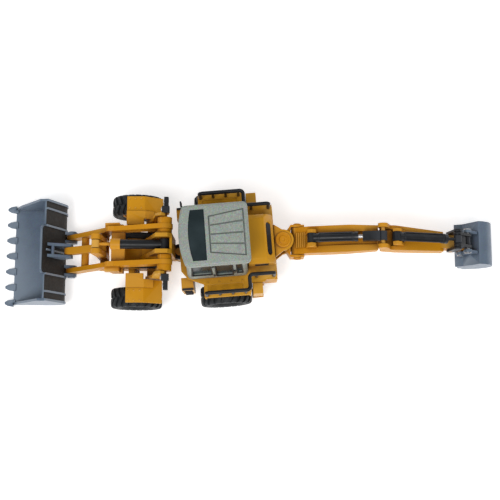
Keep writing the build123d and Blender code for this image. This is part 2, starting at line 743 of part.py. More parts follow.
with BuildPart() as bucket_back_panel:
    rib_sides = [rib + side for rib in rib_places for side in (-0.5, 0.5)]
    panel_edges = [-bucket_half + 1.2, *rib_sides, bucket_half - 1.2]
    for low, high in zip(panel_edges[0::2], panel_edges[1::2]):
        bucket_band(0, 0.5, -110, low, high)
    with BuildSketch(guard_plane):
        with Locations((0, -0.4)):
            RectangleRounded(24.0, 6.2, 2.0)
        with Locations((0, -5)):
            Rectangle(30, 10, mode=Mode.SUBTRACT)
    extrude(amount=0.5)
    for low, high in both_sides(ear_in, ear_out):
        plate(tilt_lug, low, high, mode=Mode.SUBTRACT)
    for low, high in both_sides(5.9, 7.4) + both_sides(10.4, 11.9):
        plate(arm_lug, low, high, mode=Mode.SUBTRACT)
write(bucket_back_panel, "bucket_back_panel", front_place)

tooth_pitch = 8.5
with BuildPart() as bucket_teeth:
    for index in range(-3, 4):
        tooth_y = index * tooth_pitch
        with BuildSketch(Plane.XY.offset(floor_z)):
            with BuildLine():
                Polyline(
                    (lip_x, tooth_y - 2.0),
                    (tooth_tip_x + 1.6, tooth_y - 1.5),
                    (tooth_tip_x, tooth_y - 0.6),
                    (tooth_tip_x, tooth_y + 0.6),
                    (tooth_tip_x + 1.6, tooth_y + 1.5),
                    (lip_x, tooth_y + 2.0),
                    close=True,
                )
            make_face()
        extrude(amount=bucket_wall + 0.8)
        shank_limit = bucket_half - bucket_wall
        shank = (max(tooth_y - 1.7, -shank_limit), min(tooth_y + 1.7, shank_limit))
        block((lip_x, lip_x + 1.2), shank, (floor_z + bucket_wall, floor_z + 2.0))
write(bucket_teeth, "bucket_teeth", front_place)

with BuildPart() as loader_bucket_pins:
    disc(bucket_ear, small_pin_r, -ear_out, ear_out)
    for low, high in both_sides(5.9, 11.9):
        disc(bucket_pivot, pin_r, low, high)
    for low, high in both_sides(11.9, 12.5):
        disc(bucket_pivot, 2.0, low, high)
write(loader_bucket_pins, "loader_bucket_pins", front_place)

# ================================================================ digging arm
fork_in = 7.2
fork_out = 8.4
boom_cyl_lug = [
    (20, 23), (22, 23), (28.6, 15.6), (28.6, 13), (26.5, 11.6), (23.4, 13), (23.0, 18.6), (20, 20),
]
with BuildPart() as swing_post:
    with BuildSketch(Plane.XY.offset(19.3)):
        with Locations((swing_x, 0)):
            Circle(3.3)
    extrude(amount=9.9)
    fork_half = [(swing_x + 0.5, 3.2), (21, fork_out), (28, fork_out), (28, fork_in), (21, fork_in)]
    with BuildSketch(Plane.XY.offset(19.6)):
        with BuildLine():
            Polyline(*fork_half, *[(x, -y) for x, y in reversed(fork_half)], close=True)
        make_face()
    extrude(amount=9.4)
    for low, high in both_sides(fork_in, fork_out):
        disc(boom_foot, 3.4, low, high)
    for low, high in both_sides(2.5, 4.3):
        plate(boom_cyl_lug, low, high)
        disc(boom_cyl_base, small_pin_r, low, high, mode=Mode.SUBTRACT)
    with BuildSketch(Plane.XY.offset(19.3)):
        with Locations((swing_x, 0)):
            Circle(1.5 + shaft_gap)
    extrude(amount=9.9, mode=Mode.SUBTRACT)
    for low, high in both_sides(fork_in, fork_out):
        disc(boom_foot, pin_r, low, high, mode=Mode.SUBTRACT)
write(swing_post, "swing_post", dig_place)

with BuildPart() as swing_post_pins:
    disc(boom_foot, pin_r, -fork_out, fork_out)
    for low, high in both_sides(fork_out, fork_out + 0.5):
        disc(boom_foot, 2.0, low, high)
    disc(boom_cyl_base, small_pin_r, -4.3, 4.3)
write(swing_post_pins, "swing_post_pins", dig_place)

boom_half = 6.9
boom_tip_half = 6.25
boom_eye_half = 3.9
boom_side = [
    (23.2, 28.7), (30, 32.5), (40, 35.2), (52, 38), (65, 39.4),
    (66.5, 33.6), (50, 29), (38, 25.4), (26, 23.3),
]
with BuildPart() as boom:
    plate(boom_side, -boom_half, boom_half)
    with BuildSketch(Plane.XY.offset(15)):
        with BuildLine():
            Polyline(
                (20, boom_half), (50, boom_half), (64.5, boom_tip_half),
                (64.5, -boom_tip_half), (50, -boom_half), (20, -boom_half),
                close=True,
            )
        make_face()
    extrude(amount=35, mode=Mode.INTERSECT)
    disc(boom_foot, 3.2, -boom_half, boom_half)
    bar((60, 34.8), stick_pivot, 6.2, -boom_eye_half, boom_eye_half)
    plate([(33, 33), (64, 38.2), (64, 60), (33, 60)], -3.4, 3.4, mode=Mode.SUBTRACT)
    for low, high in both_sides(2.5, 4.3):
        plate([(28.4, 30.5), (34.4, 33), (33.3, 38.6), (31.2, 40.1), (29.1, 38.6)], low, high)
        disc(stick_cyl_base, small_pin_r, low, high, mode=Mode.SUBTRACT)
    plate([(34.5, 20), (34.5, 27.5), (44, 33), (56.5, 33.6), (56.5, 20)], -2.9, 2.9, mode=Mode.SUBTRACT)
    plate([(23.4, 28), (23.4, 29.4), (28.6, 32), (28.6, 30)], -3.9, 3.9)
    for ridge in range(5):
        ridge_x = 23.8 + 0.95 * ridge
        ridge_z = 28.6 + 0.45 * ridge
        block((ridge_x, ridge_x + 0.5), (-3.9, 3.9), (ridge_z, ridge_z + 1.6))
    disc(boom_foot, pin_r + shaft_gap, -boom_half, boom_half, mode=Mode.SUBTRACT)
    disc(stick_pivot, pin_r, -boom_eye_half, boom_eye_half, mode=Mode.SUBTRACT)
    disc(boom_cyl_eye, small_pin_r, -boom_half, boom_half, mode=Mode.SUBTRACT)
write(boom, "boom", dig_place)

with BuildPart() as boom_pins:
    disc(stick_pivot, pin_r, -boom_tip_half, boom_tip_half)
    disc(stick_cyl_base, small_pin_r, -4.3, 4.3)
    disc(boom_cyl_eye, small_pin_r, -boom_half, boom_half)
write(boom_pins, "boom_pins", dig_place)

with BuildPart() as boom_barrel:
    cylinder_barrel(boom_cyl_base, boom_cyl_eye, 0, 2.0, 19.8, 0.35, 2.2, small_pin_r)
write(boom_barrel, "boom_barrel", dig_place)

with BuildPart() as boom_rod:
    cylinder_rod(boom_cyl_base, boom_cyl_eye, 0, 16.5, 2.2, small_pin_r)
write(boom_rod, "boom_rod", dig_place)

stick_in = boom_eye_half + gap
stick_half = 6.25
stick_end_half = 3.6
stick_side = [(66.8, 38.9), (72.5, 39.4), (100, 26.6), (100, 19.2), (90, 22.2), (76, 28.6), (67, 33)]
with BuildPart() as stick:
    plate(stick_side, -stick_half, stick_half)
    for side in (-1, 1):
        with BuildSketch(Plane.XY.offset(15)):
            with BuildLine():
                Polyline(
                    (74, side * stick_half), (100.5, side * 5.0),
                    (100.5, side * 7), (74, side * 7),
                    close=True,
                )
            make_face()
        extrude(amount=30, mode=Mode.SUBTRACT)
    bar((97, 23.6), dig_pivot, 5.2, -stick_end_half, stick_end_half)
    plate([(97, 27.8), (102, 27), (106.2, 25.4), (105, 19.5), (97, 21)], -stick_end_half, stick_end_half)
    disc(stick_pivot, 5.4, -stick_in, stick_in, mode=Mode.SUBTRACT)
    plate([(60, 28), (72, 28), (72, 33.5), (69, 44), (60, 44)], -stick_in, stick_in, mode=Mode.SUBTRACT)
    for low, high in both_sides(stick_in, stick_half):
        bar(stick_pivot, stick_cyl_eye, 5.0, low, high)
        disc(stick_pivot, 3.8, low, high)
        disc(stick_pivot, pin_r + shaft_gap, low, high, mode=Mode.SUBTRACT)
        disc(stick_cyl_eye, small_pin_r, low, high, mode=Mode.SUBTRACT)
    for low, high in both_sides(2.5, 4.0):
        plate([(72.4, 38.8), (71.3, 43.4), (73.4, 44.8), (75.5, 43.4), (78.5, 36)], low, high)
        disc(dig_cyl_base, small_pin_r, low, high, mode=Mode.SUBTRACT)
    disc(idler_pivot, small_pin_r, -stick_end_half, stick_end_half, mode=Mode.SUBTRACT)
    disc(dig_pivot, small_pin_r + shaft_gap, -stick_end_half, stick_end_half, mode=Mode.SUBTRACT)
write(stick, "stick", dig_place)

idler_in = stick_end_half + gap
idler_out = 5.1
with BuildPart() as stick_pins:
    disc(stick_cyl_eye, small_pin_r, -stick_half, stick_half)
    disc(dig_cyl_base, small_pin_r, -4.0, 4.0)
    disc(idler_pivot, small_pin_r, -idler_out, idler_out)
write(stick_pins, "stick_pins", dig_place)

with BuildPart() as stick_barrel:
    cylinder_barrel(stick_cyl_base, stick_cyl_eye, 0, 2.2, 23.3, 0.7, 2.2, small_pin_r)
write(stick_barrel, "stick_barrel", dig_place)

with BuildPart() as stick_rod:
    cylinder_rod(stick_cyl_base, stick_cyl_eye, 0, 20.5, 2.3, small_pin_r)
    with BuildSketch(line_plane(stick_cyl_eye, stick_cyl_base, 0, small_pin_r + 0.4)):
        Rectangle(4.6, 4.4)
    extrude(amount=8.6)
write(stick_rod, "stick_rod", dig_place)

with BuildPart() as idler_link:
    for low, high in both_sides(idler_in, idler_out):
        bar(idler_pivot, idler_top, 4.0, low, high)
        disc(idler_pivot, small_pin_r + shaft_gap, low, high, mode=Mode.SUBTRACT)
    disc(idler_top, small_pin_r, -idler_out, idler_out)
write(idler_link, "idler_link", dig_place)

with BuildPart() as bucket_link:
    for low, high in both_sides(2.2, stick_end_half):
        bar(idler_top, dig_ear, 4.0, low, high)
        disc(idler_top, small_pin_r + shaft_gap, low, high, mode=Mode.SUBTRACT)
        disc(dig_ear, small_pin_r + open_gap, low, high, mode=Mode.SUBTRACT)
    bar((107.9, 31.6), (110.1, 29.6), 1.4, -stick_end_half, stick_end_half)
write(bucket_link, "bucket_link", dig_place)

with BuildPart() as dig_barrel:
    cylinder_barrel(dig_cyl_base, idler_top, 0, 2.2, 27.4, 1.15, 2.2, small_pin_r)
write(dig_barrel, "dig_barrel", dig_place)

with BuildPart() as dig_rod:
    cylinder_rod(dig_cyl_base, idler_top, 0, 18.0, link_half, small_pin_r)
write(dig_rod, "dig_rod", dig_place)

# ---------------------------------------------------------------- digging bucket
dig_half = 11.25
mouth_top = (108.8, 12.6)
mouth_bend = (112.8, 14.0)
top_back = (119.0, 24.0)
back_mid = (127.9, 15.0)
floor_back = (122.0, 3.4)
dig_lip = (115.5, 1.6)


def dig_outline():
    """Closed side outline of the digging bucket."""
    with BuildLine() as outline:
        Line(mouth_top, mouth_bend)
        Line(mouth_bend, top_back)
        ThreePointArc(top_back, back_mid, floor_back)
        Line(floor_back, dig_lip)
        Line(dig_lip, mouth_top)
    make_face(outline.edges())


with BuildPart() as dig_bucket:
    with BuildSketch(side_plane(dig_half)):
        dig_outline()
    extrude(amount=2 * dig_half)
    with BuildSketch(side_plane(dig_half - 1.2)):
        dig_outline()
        offset(amount=-1.2, mode=Mode.REPLACE)
    extrude(amount=2 * dig_half - 2.4, mode=Mode.SUBTRACT)
    mouth_cut = [
        (104, 4), (114.6, 2.9), (119.0, 3.6), (114.6, 14.6), (113.0, 12.9), (109.3, 11.3), (104, 9.8),
    ]
    plate(mouth_cut, -dig_half + 1.2, dig_half - 1.2, mode=Mode.SUBTRACT)
    for low, high in both_sides(4.3, 5.8):
        plate([dig_pivot, dig_ear, (118.4, 23.6), (113.2, 14.2)], low, high)
        disc(dig_pivot, 2.3, low, high)
        disc(dig_ear, 2.1, low, high)
        disc(dig_pivot, small_pin_r, low, high, mode=Mode.SUBTRACT)
        disc(dig_ear, small_pin_r, low, high, mode=Mode.SUBTRACT)
    for index in range(5):
        tooth_y = (index - 2) * 4.9
        plate([(115.9, 1.2), (118.5, 2.4), (117.6, 3.6), (112.2, 3.2)], tooth_y - 1.1, tooth_y + 1.1)
write(dig_bucket, "dig_bucket", dig_place)

with BuildPart() as dig_bucket_pins:
    for pivot in (dig_pivot, dig_ear):
        disc(pivot, small_pin_r, -5.8, 5.8)
        for low, high in both_sides(5.8, 6.4):
            disc(pivot, 1.7, low, high)
write(dig_bucket_pins, "dig_bucket_pins", dig_place)
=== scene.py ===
"""Looks of the toy backhoe loader: materials, tyres, rims and small fittings around the CAD frame.

Everything is in metres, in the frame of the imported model: -X towards the loader bucket, +Z up.
"""
import json
import math

import bmesh
import bpy
from mathutils import Matrix, Vector


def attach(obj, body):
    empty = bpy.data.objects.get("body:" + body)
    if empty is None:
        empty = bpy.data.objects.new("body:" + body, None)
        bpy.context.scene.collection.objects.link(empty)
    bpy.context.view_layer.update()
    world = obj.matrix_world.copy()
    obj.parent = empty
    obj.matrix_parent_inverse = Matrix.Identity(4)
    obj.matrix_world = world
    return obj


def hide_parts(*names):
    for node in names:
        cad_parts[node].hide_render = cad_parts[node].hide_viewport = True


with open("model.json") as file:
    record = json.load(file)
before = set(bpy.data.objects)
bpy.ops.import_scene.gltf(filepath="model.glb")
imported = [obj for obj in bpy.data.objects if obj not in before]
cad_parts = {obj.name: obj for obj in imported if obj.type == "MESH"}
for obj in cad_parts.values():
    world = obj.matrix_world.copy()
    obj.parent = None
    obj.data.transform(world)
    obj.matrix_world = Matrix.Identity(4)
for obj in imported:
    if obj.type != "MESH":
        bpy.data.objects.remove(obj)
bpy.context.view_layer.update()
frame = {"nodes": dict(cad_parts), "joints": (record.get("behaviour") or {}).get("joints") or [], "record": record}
nodes = frame["nodes"]
joints = {joint["name"]: joint for joint in frame["joints"]}
MM = 0.001

# ---------------------------------------------------------------- camera and studio
view_width = 0.273             # at the ground
eye = Vector((0.002, -0.070, 0.480))
target = Vector((0.002, 0.0025, 0.0))
sensor = 36.0                  # millimetres
light_aim = Vector((0, 0, 0.02))
floor_half = 3.0
floor_drop = 0.0002            # keeps the floor just clear of the tyres


def add_camera():
    data = bpy.data.cameras.new("camera")
    data.sensor_width = sensor
    data.lens = sensor * (eye - target).length / view_width
    data.clip_start = 0.01
    data.clip_end = 20
    camera = bpy.data.objects.new("camera", data)
    camera.location = eye
    camera.rotation_euler = (target - eye).to_track_quat("-Z", "Y").to_euler()
    bpy.context.collection.objects.link(camera)
    bpy.context.scene.camera = camera


def add_light(name, place, size, power, tint=(1, 1, 1)):
    """Square soft light aimed at the middle of the machine."""
    data = bpy.data.lights.new(name, "AREA")
    data.shape = "SQUARE"
    data.size = size
    data.energy = power
    data.color = tint
    light = bpy.data.objects.new(name, data)
    light.location = place
    light.rotation_euler = (light_aim - light.location).to_track_quat("-Z", "Y").to_euler()
    bpy.context.collection.objects.link(light)


def add_floor():
    mesh = bpy.data.meshes.new("floor")
    half = floor_half
    corners = [(-half, -half, 0), (half, -half, 0), (half, half, 0), (-half, half, 0)]
    mesh.from_pydata(corners, [], [(0, 1, 2, 3)])
    floor = bpy.data.objects.new("floor", mesh)
    floor.location.z = -floor_drop
    bpy.context.collection.objects.link(floor)
    paper = bpy.data.materials.new("floor_paper")
    paper.use_nodes = True
    shader = paper.node_tree.nodes["Principled BSDF"]
    shader.inputs["Base Color"].default_value = (0.93, 0.93, 0.935, 1)
    shader.inputs["Roughness"].default_value = 0.8
    shader.inputs["Emission Color"].default_value = (1, 1, 1, 1)
    shader.inputs["Emission Strength"].default_value = 0.5
    mesh.materials.append(paper)


def add_studio():
    world = bpy.data.worlds.new("studio")
    world.use_nodes = True
    world.node_tree.nodes["Background"].inputs["Color"].default_value = (1, 1, 1, 1)
    world.node_tree.nodes["Background"].inputs["Strength"].default_value = 0.36
    bpy.context.scene.world = world
    bpy.context.scene.view_settings.view_transform = "Standard"
    add_light("key", (-0.25, -0.34, 0.85), 0.35, 3.7)
    add_light("fill", (0.6, 0.45, 0.6), 0.5, 0.9, (0.95, 0.97, 1))
    add_light("side", (0.35, -0.38, 0.75), 0.3, 1.0)


# ---------------------------------------------------------------- materials
class Paint:
    """Node tree of one material, with the few kinds of node that the materials share."""

    def __init__(self, name, roughness, metallic=0.0, coat=0.0, shine=0.4):
        self.material = bpy.data.materials.new(name)
        self.material.use_nodes = True
        self.tree = self.material.node_tree
        self.shader = self.tree.nodes["Principled BSDF"]
        self.shader.inputs["Roughness"].default_value = roughness
        self.shader.inputs["Metallic"].default_value = metallic
        self.shader.inputs["Coat Weight"].default_value = coat
        self.shader.inputs["Coat Roughness"].default_value = 0.12
        self.shader.inputs["Specular IOR Level"].default_value = shine
        self.place = self.tree.nodes.new("ShaderNodeTexCoord").outputs["Object"]

    def link(self, out, socket):
        self.tree.links.new(out, socket)

    def noise(self, size, detail=3.0, roughness=0.55, stretch=None):
        """Noise whose features are about size metres across; stretch scales the axes first."""
        node = self.tree.nodes.new("ShaderNodeTexNoise")
        node.inputs["Scale"].default_value = 1.0 / size
        node.inputs["Detail"].default_value = detail
        node.inputs["Roughness"].default_value = roughness
        if stretch:
            mapping = self.tree.nodes.new("ShaderNodeMapping")
            mapping.inputs["Scale"].default_value = stretch
            self.link(self.place, mapping.inputs["Vector"])
            self.link(mapping.outputs["Vector"], node.inputs["Vector"])
        else:
            self.link(self.place, node.inputs["Vector"])
        return node.outputs["Fac"]

    def speckle(self, size):
        """Cells of about size metres, for flake in the paint."""
        node = self.tree.nodes.new("ShaderNodeTexVoronoi")
        node.inputs["Scale"].default_value = 1.0 / size
        self.link(self.place, node.inputs["Vector"])
        return node.outputs["Color"]

    def ramp(self, value, low, high, low_colour, high_colour):
        """Colour that runs from one tone to the other as value goes from low to high."""
        node = self.tree.nodes.new("ShaderNodeValToRGB")
        node.color_ramp.elements[0].position = low
        node.color_ramp.elements[1].position = high
        node.color_ramp.elements[0].color = (*low_colour, 1)
        node.color_ramp.elements[1].color = (*high_colour, 1)
        self.link(value, node.inputs["Fac"])
        return node.outputs["Color"]

    def mix(self, factor, first, second, blend="MIX"):
        """Mixed colours; factor, first and second are sockets or plain values."""
        node = self.tree.nodes.new("ShaderNodeMix")
        node.data_type = "RGBA"
        node.blend_type = blend
        for value, socket in ((factor, node.inputs[0]), (first, node.inputs[6]), (second, node.inputs[7])):
            if isinstance(value, bpy.types.NodeSocket):
                self.link(value, socket)
            elif isinstance(value, tuple):
                socket.default_value = (*value, 1)
            else:
                socket.default_value = value
        return node.outputs[2]

    def span(self, value, low, high, out_low, out_high):
        """Value carried from one range to another."""
        node = self.tree.nodes.new("ShaderNodeMapRange")
        for index, number in enumerate((low, high, out_low, out_high), start=1):
            node.inputs[index].default_value = number
        self.link(value, node.inputs["Value"])
        return node.outputs["Result"]

    def hollow(self, reach):
        """Openness of the surface, near 0 in a recess and 1 in the open."""
        node = self.tree.nodes.new("ShaderNodeAmbientOcclusion")
        node.inputs["Distance"].default_value = reach
        node.samples = 6
        return node.outputs["AO"]

    def edge(self):
        """Curvature of the surface: high along outside edges."""
        return self.tree.nodes.new("ShaderNodeNewGeometry").outputs["Pointiness"]

    def colour(self, socket):
        self.link(socket, self.shader.inputs["Base Color"])

    def rough(self, socket):
        self.link(socket, self.shader.inputs["Roughness"])

    def bump(self, height, depth, under=None):
        """Relief of depth metres; under is the normal of a relief that lies below it."""
        node = self.tree.nodes.new("ShaderNodeBump")
        node.inputs["Strength"].default_value = 1.0
        node.inputs["Distance"].default_value = depth
        self.link(height, node.inputs["Height"])
        if under:
            self.link(under, node.inputs["Normal"])
        self.link(node.outputs["Normal"], self.shader.inputs["Normal"])
        return node.outputs["Normal"]


def body_paint(name, tone, shade, pale):
    """Sprayed die-cast enamel: soft mottling, painted brown shade in the recesses, and paler edges that are a
    painted highlight and thinner paint.
    """
    paint = Paint(name, 0.42, coat=0.04, shine=0.15)
    mottled = paint.ramp(paint.noise(9 * MM), 0.35, 0.7, tuple(0.94 * c for c in tone), tone)
    # painted shade: brown mixed in where ambient occlusion finds a recess
    recess = paint.span(paint.hollow(7 * MM), 0.25, 0.85, 1.0, 0.0)
    shaded = paint.mix(recess, mottled, shade)
    # painted highlight along the outside edges, also standing for thinner paint there
    rim = paint.span(paint.edge(), 0.53, 0.62, 0.0, 0.4)
    highlit_and_worn = paint.mix(rim, shaded, pale)
    specks = paint.span(paint.noise(0.5 * MM, 2.0), 0.72, 0.78, 0.0, 0.25)
    paint.colour(paint.mix(specks, highlit_and_worn, shade))
    paint.rough(paint.span(paint.noise(3 * MM, 4.0), 0.3, 0.7, 0.34, 0.50))
    paint.bump(paint.noise(0.9 * MM, 3.0), 0.02 * MM)
    return paint.material


def bucket_paint():
    """Blue-grey enamel with a faint metal flake and long scuffs, painted shade in the recesses, and paler edges
    that are a painted highlight and wear.
    """
    paint = Paint("bucket_paint", 0.4, metallic=0.15, coat=0.15)
    base = paint.ramp(paint.noise(6 * MM), 0.3, 0.75, (0.105, 0.145, 0.205), (0.130, 0.180, 0.250))
    flake = paint.mix(0.12, base, paint.speckle(0.35 * MM), "OVERLAY")
    # painted shade: near black mixed in where ambient occlusion finds a recess
    recess = paint.span(paint.hollow(5 * MM), 0.2, 0.8, 0.75, 0.0)
    shaded = paint.mix(recess, flake, (0.018, 0.024, 0.035))
    # painted highlight along the outside edges, also standing for worn paint
    rim = paint.span(paint.edge(), 0.53, 0.62, 0.0, 0.55)
    scuffs = paint.span(paint.noise(1.2 * MM, 4.0, 0.7, (0.25, 1.6, 1.0)), 0.66, 0.74, 0.0, 0.3)
    highlit_and_worn = paint.mix(rim, shaded, (0.30, 0.36, 0.43))
    paint.colour(paint.mix(scuffs, highlit_and_worn, (0.24, 0.29, 0.35)))
    paint.rough(paint.span(paint.noise(2 * MM, 4.0), 0.3, 0.7, 0.34, 0.52))
    paint.bump(paint.noise(0.6 * MM, 3.0), 0.03 * MM)
    return paint.material


def roof_paint():
    """Silver paint with coarse flake over a slightly rough moulding, and painted shade in the recesses."""
    paint = Paint("roof_paint", 0.45, metallic=0.2)
    base = paint.ramp(paint.noise(5 * MM), 0.3, 0.7, (0.28, 0.325, 0.285), (0.34, 0.385, 0.34))
    flake = paint.mix(0.35, base, paint.speckle(0.4 * MM), "OVERLAY")
    grain = paint.ramp(paint.noise(0.55 * MM, 2.0), 0.35, 0.68, (0.22, 0.245, 0.225), (0.47, 0.50, 0.46))
    grained = paint.mix(0.45, flake, grain)
    # painted shade: dark grey mixed in where ambient occlusion finds a recess
    recess = paint.span(paint.hollow(2.2 * MM), 0.45, 0.95, 0.65, 0.0)
    paint.colour(paint.mix(recess, grained, (0.11, 0.125, 0.115)))
    paint.rough(paint.span(paint.noise(0.7 * MM, 2.0), 0.3, 0.7, 0.36, 0.6))
    paint.bump(paint.noise(0.45 * MM, 3.0), 0.06 * MM)
    return paint.material


def black_plastic(name, tone=(0.010, 0.011, 0.013), low=0.3, high=0.45):
    """Moulded black plastic with a fine grain and greyer edges that are a painted highlight."""
    paint = Paint(name, low, shine=0.3)
    base = paint.ramp(paint.noise(4 * MM), 0.3, 0.7, tone, tuple(1.7 * c for c in tone))
    # painted highlight: greyer colour along the outside edges
    rim = paint.span(paint.edge(), 0.53, 0.64, 0.0, 0.5)
    paint.colour(paint.mix(rim, base, tuple(6 * c for c in tone)))
    paint.rough(paint.span(paint.noise(1.5 * MM, 4.0), 0.3, 0.7, low, high))
    paint.bump(paint.noise(0.35 * MM, 3.0), 0.02 * MM)
    return paint.material


def tyre_rubber():
    """Dull rubber: dusty on the crowns of the lugs, with painted shade in the grooves."""
    paint = Paint("tyre_rubber", 0.6)
    base = paint.ramp(paint.noise(3 * MM, 4.0), 0.3, 0.7, (0.010, 0.012, 0.014), (0.022, 0.026, 0.029))
    # painted shade: darker rubber where ambient occlusion finds a groove
    groove = paint.span(paint.hollow(1.6 * MM), 0.35, 0.9, 0.8, 0.0)
    dark = paint.mix(groove, base, (0.004, 0.004, 0.005))
    dust = paint.span(paint.noise(1.1 * MM, 5.0, 0.7), 0.56, 0.72, 0.0, 0.3)
    paint.colour(paint.mix(dust, dark, (0.06, 0.065, 0.065)))
    paint.rough(paint.span(paint.noise(1.4 * MM), 0.3, 0.7, 0.48, 0.72))
    paint.bump(paint.noise(0.3 * MM, 4.0, 0.7), 0.04 * MM)
    return paint.material


def pin_metal():
    """Turned steel with fine rings and a little tarnish."""
    paint = Paint("pin_metal", 0.3, metallic=0.95)
    tarnish = paint.noise(1.6 * MM, 4.0)
    paint.colour(paint.ramp(tarnish, 0.35, 0.75, (0.42, 0.42, 0.43), (0.68, 0.68, 0.69)))
    paint.rough(paint.span(tarnish, 0.3, 0.7, 0.2, 0.42))
    paint.bump(paint.noise(0.15 * MM, 2.0, 0.5, (1, 0.1, 1)), 0.01 * MM)
    return paint.material


def dark_glass():
    """Smoked plastic: dark slate, satin, with faint waves."""
    paint = Paint("dark_glass", 0.3, shine=0.12)
    depth = paint.noise(14 * MM, 2.0)
    paint.colour(paint.ramp(depth, 0.3, 0.7, (0.016, 0.026, 0.029), (0.034, 0.050, 0.056)))
    paint.rough(paint.span(paint.noise(5 * MM, 3.0), 0.3, 0.7, 0.24, 0.34))
    paint.bump(paint.noise(6 * MM, 2.0), 0.03 * MM)
    return paint.material


def lens_plastic(name, tone):
    """Lamp lens with moulded flutes."""
    paint = Paint(name, 0.12, coat=0.7)
    flutes = paint.noise(0.5 * MM, 1.0, 0.5, (1, 3, 0.2))
    paint.colour(paint.ramp(flutes, 0.35, 0.65, tuple(0.6 * c for c in tone), tone))
    paint.shader.inputs["Transmission Weight"].default_value = 0.15
    paint.bump(flutes, 0.08 * MM)
    return paint.material


yellow_tone = (0.68, 0.315, 0.009)
orange_tone = (0.68, 0.290, 0.009)
# brown_shade is the painted shade of recesses and the tone of the dark specks; pale_yellow is the painted edge
# highlight
brown_shade = (0.20, 0.062, 0.004)
pale_yellow = (0.86, 0.56, 0.16)
LOOKS = {
    "yellow_body": body_paint("yellow_enamel", yellow_tone, brown_shade, pale_yellow),
    "yellow_arm": body_paint("arm_enamel", orange_tone, brown_shade, pale_yellow),
    "yellow_plastic": body_paint("yellow_plastic", (0.66, 0.31, 0.010), brown_shade, pale_yellow),
    "bucket_grey": bucket_paint(),
    "roof_silver": roof_paint(),
    "black_plastic": black_plastic("black_plastic"),
    "tyre_rubber": tyre_rubber(),
    "pin_steel": pin_metal(),
    "dark_glass": dark_glass(),
}
MATT_BLACK = black_plastic("matt_black", (0.008, 0.0075, 0.007), 0.55, 0.75)
CLEAR_LENS = lens_plastic("clear_lens", (0.75, 0.76, 0.74))

node_slot = {part["node"]: part["material_slot"] for part in frame["record"]["subparts"]}


# ---------------------------------------------------------------- pieces
def add_piece(name, mesh, body, slot, look=None):
    """Puts a finished mesh into the scene, riding on a body."""
    mesh.materials.clear()
    mesh.materials.append(look or LOOKS[slot])
    piece = bpy.data.objects.new(name, mesh)
    bpy.context.collection.objects.link(piece)
    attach(piece, body)
    return piece


def to_mesh(name, bm, smooth=True):
    mesh = bpy.data.meshes.new(name)
    bmesh.ops.recalc_face_normals(bm, faces=bm.faces)
    bm.to_mesh(mesh)
    bm.free()
    for face in mesh.polygons:
        face.use_smooth = smooth
    return mesh


def add_bevel(piece, width, segments=2, angle=34):
    """Rounds the edges of a piece and keeps its flat faces flat."""
    bevel = piece.modifiers.new("rounding", "BEVEL")
    bevel.width = width
    bevel.segments = segments
    bevel.limit_method = "ANGLE"
    bevel.angle_limit = math.radians(angle)
    bevel.use_clamp_overlap = True
    bevel.miter_outer = "MITER_ARC"
    normals = piece.modifiers.new("flat_faces", "WEIGHTED_NORMAL")
    normals.keep_sharp = True


def body_of(node):
    return next(body for body, names in frame["record"]["behaviour"]["bodies"].items() if node in names)


def round_off(node, width, look=None):
    """Replaces a CAD node by a copy of its shape with cast, rounded edges."""
    bm = bmesh.new()
    bm.from_mesh(nodes[node].data)
    bmesh.ops.remove_doubles(bm, verts=bm.verts, dist=2e-6)
    bmesh.ops.dissolve_limit(bm, angle_limit=math.radians(0.5), verts=bm.verts, edges=bm.edges)
    points = [tuple(vert.co) for vert in bm.verts]
    bm.verts.index_update()
    faces = [[vert.index for vert in face.verts] for face in bm.faces]
    bm.free()
    mesh = bpy.data.meshes.new(node + "_cast")
    mesh.from_pydata(points, [], faces)
    for face in mesh.polygons:
        face.use_smooth = True
    piece = add_piece(node + "_cast", mesh, body_of(node), node_slot[node], look)
    add_bevel(piece, width)
    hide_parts(node)
    return piece


def paint_node(node, look=None):
    """Gives a CAD node that keeps its shape its finished material."""
    for slot in nodes[node].material_slots:
        slot.material = look or LOOKS[node_slot[node]]


CAST_EDGES = {  # width of the rounding in millimetres
    "body_shell": 0.5, "engine_hood": 0.9, "front_frame": 0.35, "front_mudguards": 0.35,
    "swing_bracket": 0.4, "stabiliser_housings": 0.35, "arm_left": 0.4, "arm_right": 0.4,
    "arm_cross_members": 0.3, "tilt_crank": 0.35, "tilt_link": 0.5, "boom": 0.4, "stick": 0.4,
    "swing_post": 0.4, "idler_link": 0.25, "bucket_link": 0.25, "loader_bucket": 0.25,
    "bucket_teeth": 0.3, "dig_bucket": 0.25, "cab_frame": 0.3, "headlamps": 0.35, "steps": 0.2,
    "step_treads": 0.12, "chassis_base": 0.4, "stabiliser_leg_left": 0.3, "stabiliser_leg_right": 0.3,
    "operator_seat": 0.8, "lift_barrels": 0.2, "tilt_barrel": 0.25, "boom_barrel": 0.2,
    "stick_barrel": 0.25, "dig_barrel": 0.25,
}


# ---------------------------------------------------------------- wheels
def wheel_place(joint):
    """Matrix from a wheel's own axes, turning about Y, to the machine."""
    axis = Vector(joints[joint]["axis"])
    turn = Vector((0, 1, 0)).rotation_difference(axis).to_matrix().to_4x4()
    return Matrix.Translation(joints[joint]["pos_m"]) @ turn


def add_lathe(bm, profile, place, steps=80):
    """Ring or disc about Y from a closed list of (y, radius) points in millimetres."""
    rings = []
    for step in range(steps):
        angle = 2 * math.pi * step / steps
        ring = []
        for y, radius in profile:
            point = Vector((radius * MM * math.cos(angle), y * MM, radius * MM * math.sin(angle)))
            ring.append(bm.verts.new(place @ point))
        rings.append(ring)
    count = len(profile)
    for step in range(steps):
        here = rings[step]
        after = rings[(step + 1) % steps]
        for index in range(count):
            corners = (here[index], here[(index + 1) % count], after[(index + 1) % count], after[index])
            bm.faces.new(corners)


